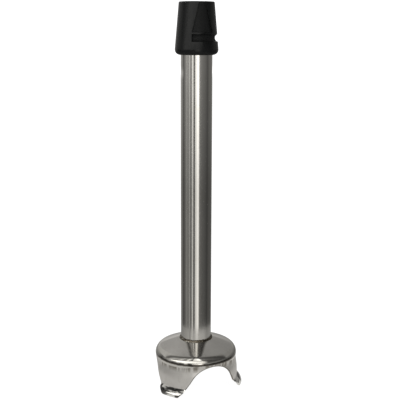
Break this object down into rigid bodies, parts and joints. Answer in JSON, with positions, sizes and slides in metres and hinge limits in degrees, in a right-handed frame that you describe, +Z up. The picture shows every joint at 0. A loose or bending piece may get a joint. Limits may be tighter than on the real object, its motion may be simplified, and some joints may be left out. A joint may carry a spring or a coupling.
{
  "type": "stick blender blending arm",
  "caption": "Stainless blending arm of a commercial stick blender: tapered coupling collar, long tube, footed bell guard, sealed drive shaft and cross blade.",
  "frame": {"origin": "on the shaft axis, on the plane that the three feet stand on", "axes": "+Z up the shaft axis from the feet to the coupling collar, +X through the middle of one foot"},
  "size_m": [0.1105, 0.1134, 0.4777],
  "materials": {
    "collar_plastic": "matte moulded black",
    "tube_stainless": "satin, fine grain round the tube",
    "bell_stainless": "satin dome and skirt, polished rim and toes",
    "weld": "rough bead, slightly heat tinted",
    "machined_stainless": "turned",
    "hardened_steel": "ground",
    "bearing_steel": "ground and polished",
    "blade_steel": "ground edges",
    "aluminium": "turned",
    "bronze": "sintered",
    "nylon": "natural nylon",
    "black_rubber": "matte",
    "drive_plastic": "glass-filled",
    "black_oxide_steel": "black oxide"
  },
  "bodies": {
    "arm": {"coupling_collar": "collar_plastic", "collar_screws": "black_oxide_steel", "collar_seal_ring": "black_rubber", "shaft_tube": "tube_stainless", "bell_guard": "bell_stainless", "tube_weld_bead": "weld", "upper_bearing_carrier": "aluminium", "upper_shaft_bush": "bronze", "upper_bearing_circlip": "hardened_steel", "upper_bearing_outer_ring": "bearing_steel", "upper_guide_bush": "nylon", "upper_guide_sleeve": "black_rubber", "lower_guide_bush": "nylon", "lower_guide_sleeve": "black_rubber", "lower_bearing_housing": "machined_stainless", "lower_bearing_outer_ring": "bearing_steel", "lower_bearing_circlip": "hardened_steel", "shaft_seal_case": "hardened_steel", "shaft_seal_lip": "black_rubber", "shaft_seal_garter_spring": "hardened_steel", "seal_cap": "machined_stainless"},
    "drive_train": {"drive_shaft": "hardened_steel", "drive_coupling": "drive_plastic", "coupling_cross_pin": "hardened_steel", "upper_bearing_inner_ring": "bearing_steel", "upper_shaft_circlip": "hardened_steel", "lower_bearing_inner_ring": "bearing_steel", "seal_sleeve": "hardened_steel", "blade": "blade_steel", "blade_washer": "machined_stainless", "blade_nut": "machined_stainless"},
    "upper_ball_cage": {"upper_bearing_cage": "bronze", "upper_bearing_balls": "bearing_steel"},
    "lower_ball_cage": {"lower_bearing_cage": "bronze", "lower_bearing_balls": "bearing_steel"}
  },
  "joints": [
    {"name": "shaft_spin", "type": "hinge", "parent": "arm", "child": "drive_train", "pos_m": [0, 0, 0.23439], "axis": [0, 0, 1], "continuous": true},
    {"name": "upper_cage_spin", "type": "hinge", "parent": "arm", "child": "upper_ball_cage", "pos_m": [0, 0, 0.39038], "axis": [0, 0, 1], "continuous": true},
    {"name": "lower_cage_spin", "type": "hinge", "parent": "arm", "child": "lower_ball_cage", "pos_m": [0, 0, 0.07839], "axis": [0, 0, 1], "continuous": true}
  ],
  "couplings": [
    {"joint": "upper_cage_spin", "follows": "shaft_spin", "ratio": 0.36772},
    {"joint": "lower_cage_spin", "follows": "shaft_spin", "ratio": 0.36772}
  ]
}
